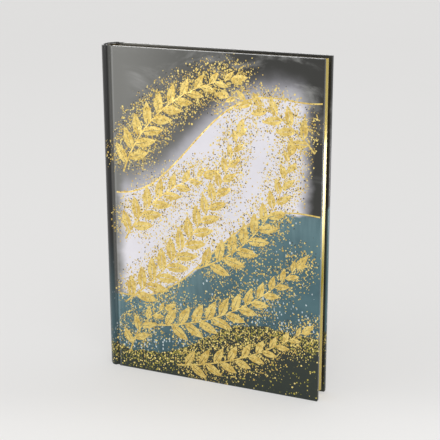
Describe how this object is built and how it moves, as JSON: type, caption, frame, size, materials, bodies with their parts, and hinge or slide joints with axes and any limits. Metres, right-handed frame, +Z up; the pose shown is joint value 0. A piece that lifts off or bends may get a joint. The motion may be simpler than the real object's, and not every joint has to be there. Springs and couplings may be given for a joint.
{
  "type": "journal",
  "caption": "Closed hardcover journal standing on its tail edges, with a rounded spine, gilt page edges and two hinged covers printed with fields of colour and foil sprays.",
  "frame": {"origin": "middle of the overall box at the foot, on the surface that the journal stands on", "axes": "+X from the spine to the fore edge, -Y out of the front cover, +Z up along the spine"},
  "size_m": [0.145, 0.0174, 0.21],
  "materials": {
    "gilt_pages": "gloss",
    "endpaper": "matte",
    "lining_cloth": "matte",
    "band_thread": "satin",
    "greyboard": "matte",
    "printed_sheet": "gloss",
    "pale_print": "gloss",
    "teal_print": "gloss",
    "gold_foil": "gloss"
  },
  "bodies": {
    "block": {"text_block": "gilt_pages", "front_flyleaf": "endpaper", "back_flyleaf": "endpaper", "spine_lining": "lining_cloth", "headband": "band_thread", "tailband": "band_thread", "spine_strip": "greyboard", "spine_wrap": "printed_sheet"},
    "front_cover": {"front_board": "greyboard", "front_wrap": "printed_sheet", "front_pastedown": "endpaper", "front_pale_print": "pale_print", "front_teal_print": "teal_print", "front_foil": "gold_foil"},
    "back_cover": {"back_board": "greyboard", "back_wrap": "printed_sheet", "back_pastedown": "endpaper", "back_pale_print": "pale_print", "back_teal_print": "teal_print", "back_foil": "gold_foil"}
  },
  "joints": [
    {"name": "front_cover_hinge", "type": "hinge", "parent": "block", "child": "front_cover", "pos_m": [-0.0646, -0.00895, 0], "axis": [0, 0, -1], "range_deg": [0, 180]},
    {"name": "back_cover_hinge", "type": "hinge", "parent": "block", "child": "back_cover", "pos_m": [-0.0646, 0.00895, 0], "axis": [0, 0, 1], "range_deg": [0, 180]}
  ]
}
